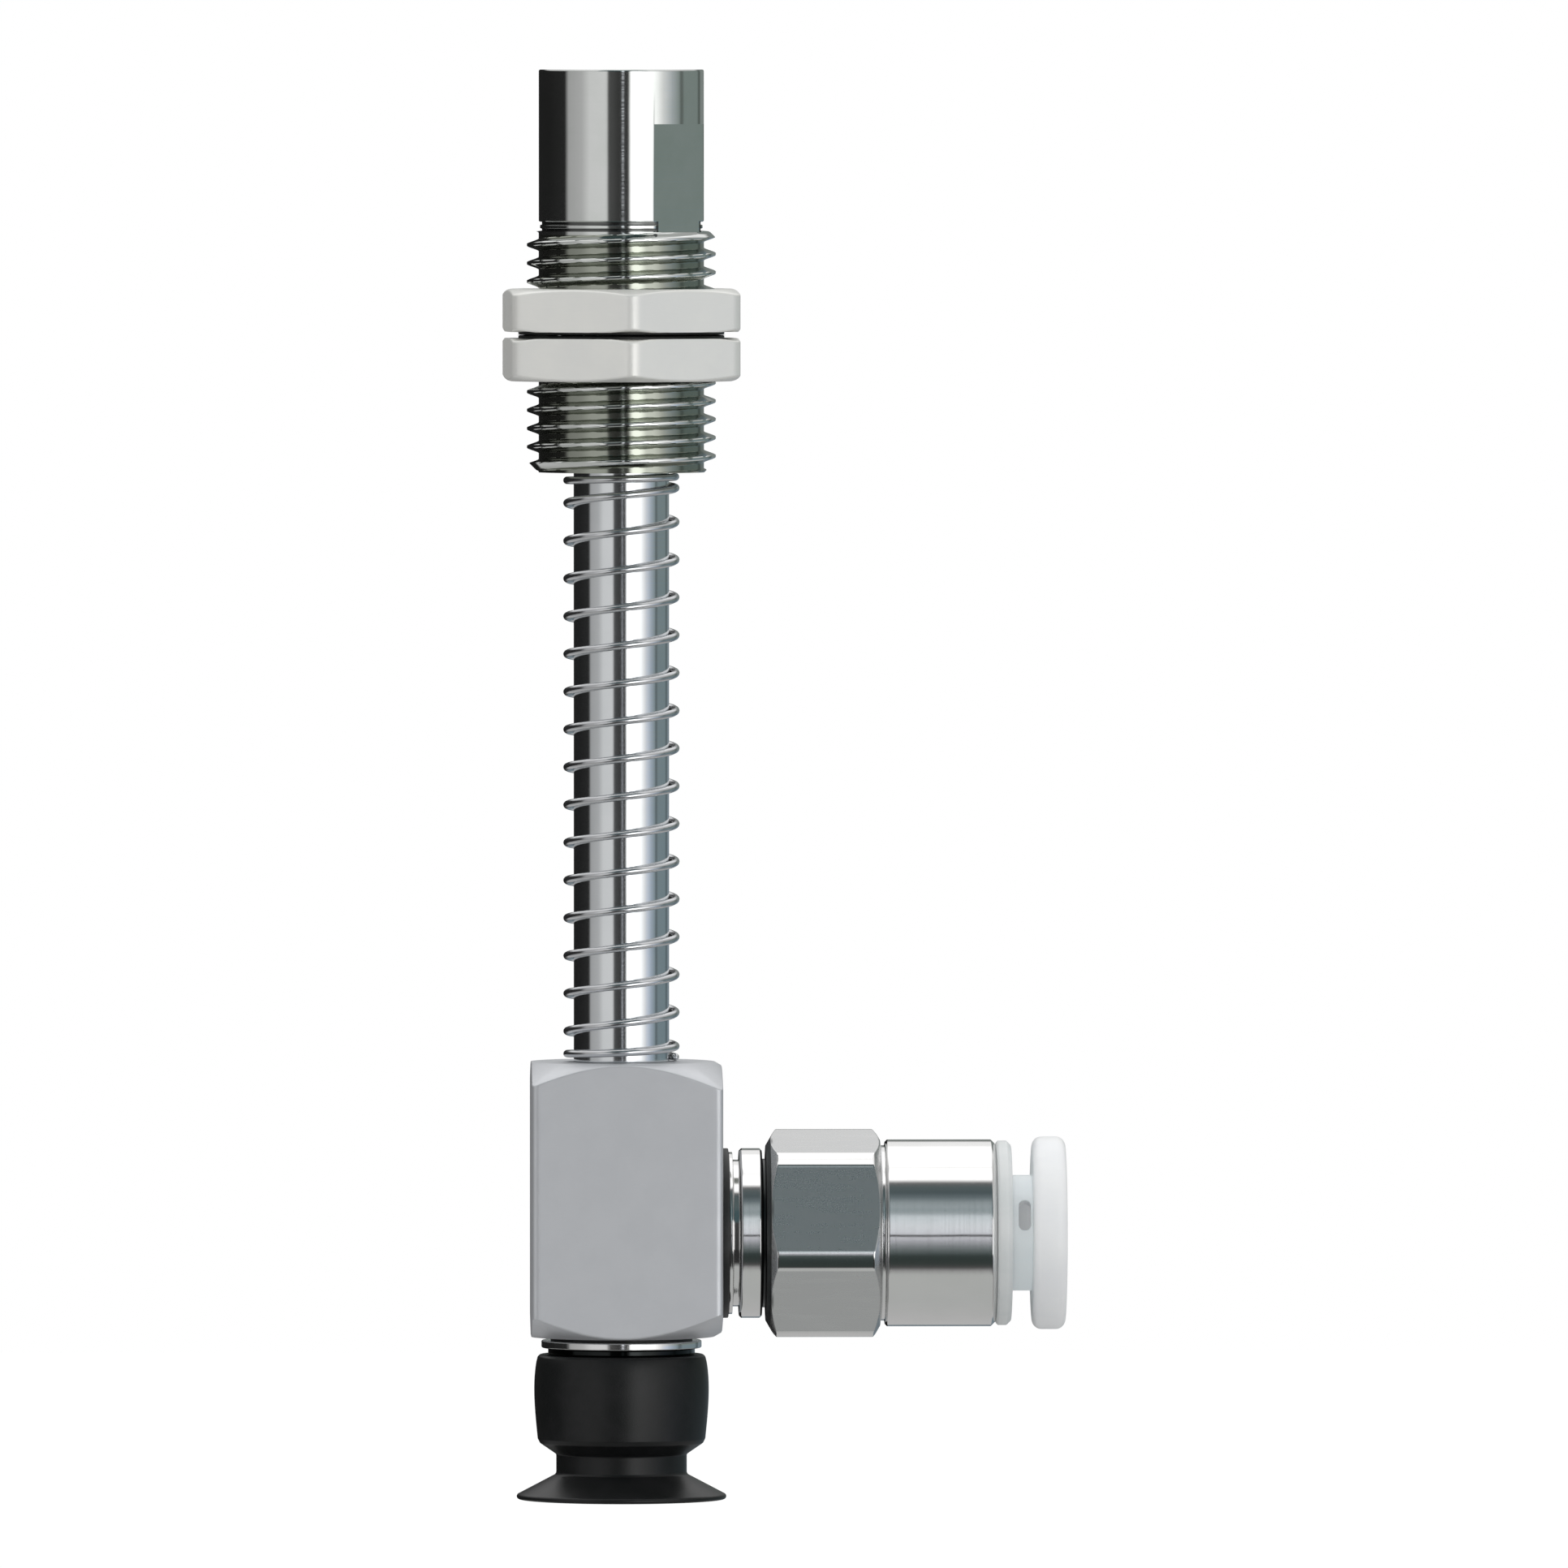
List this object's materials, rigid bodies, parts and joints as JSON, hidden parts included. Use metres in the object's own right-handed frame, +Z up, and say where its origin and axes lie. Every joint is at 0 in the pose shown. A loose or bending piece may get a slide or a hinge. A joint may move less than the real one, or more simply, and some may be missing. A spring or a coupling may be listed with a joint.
{
  "type": "suction cup level compensator",
  "caption": "Spring-loaded suction cup holder: threaded guide with lock nuts, sliding stem with a compression spring, vacuum block with a side push-in hose fitting, and a round rubber cup.",
  "frame": {"origin": "on the stem's axis, in the plane between the two lock nuts where a bracket is clamped", "axes": "+Z up along the stem, away from the suction cup; +X out of the hose fitting"},
  "size_m": [0.0295, 0.0138, 0.075],
  "materials": {
    "guide_chrome": "bright chromed turned steel",
    "stem_chrome": "ground and hard chromed",
    "bush_bronze": "sintered bronze, oiled",
    "nut_nickel": "nickel plated, fine turned faces",
    "stop_rubber": "moulded rubber",
    "stop_steel": "blanked spring steel",
    "spring_steel": "drawn stainless spring wire",
    "block_aluminium": "matt bead-blasted and anodised",
    "gasket_rubber": "moulded rubber",
    "fitting_nickel": "bright nickel plated brass",
    "seal_rubber": "nitrile rubber",
    "claw_steel": "stainless sheet",
    "guide_resin": "pale translucent resin",
    "release_resin": "pale grey-white moulded resin",
    "cup_rubber": "black nitrile rubber, slightly satin"
  },
  "bodies": {
    "housing": {"guide_bushing": "guide_chrome", "guide_bush_upper": "bush_bronze", "guide_bush_lower": "bush_bronze", "stop_bumper": "stop_rubber"},
    "upper_nut": {"lock_nut_upper": "nut_nickel"},
    "lower_nut": {"lock_nut_lower": "nut_nickel"},
    "spring_set": {"compression_spring": "spring_steel", "stop_washer": "stop_steel"},
    "stem": {"stem_rod": "stem_chrome", "retaining_clip": "stop_steel", "vacuum_block": "block_aluminium", "fitting_gasket": "gasket_rubber", "gasket_backing_ring": "fitting_nickel", "fitting_body": "fitting_nickel", "tube_seal": "seal_rubber", "seal_backup_ring": "fitting_nickel", "grip_claw": "claw_steel", "claw_guide": "guide_resin", "adapter_gasket": "gasket_rubber", "cup_adapter": "fitting_nickel", "suction_cup": "cup_rubber"},
    "release": {"release_ring": "release_resin"}
  },
  "joints": [
    {"name": "upper_nut_travel", "type": "slide", "parent": "housing", "child": "upper_nut", "axis": [0, 0, 1], "range_m": [0, 0.0025]},
    {"name": "lower_nut_travel", "type": "slide", "parent": "housing", "child": "lower_nut", "axis": [0, 0, -1], "range_m": [0, 0.004]},
    {"name": "stem_swivel", "type": "hinge", "parent": "housing", "child": "spring_set", "pos_m": [0, 0, 0], "axis": [0, 0, 1], "continuous": true},
    {"name": "stem_stroke", "type": "slide", "parent": "spring_set", "child": "stem", "axis": [0, 0, 1], "range_m": [0, 0.02], "stiffness_N_per_m": 150, "springref_m": -0.01, "deforming": ["compression_spring"]},
    {"name": "release_push", "type": "slide", "parent": "stem", "child": "release", "axis": [-1, 0, 0], "range_m": [0, 0.0008], "stiffness_N_per_m": 800, "springref_m": -0.0005}
  ]
}
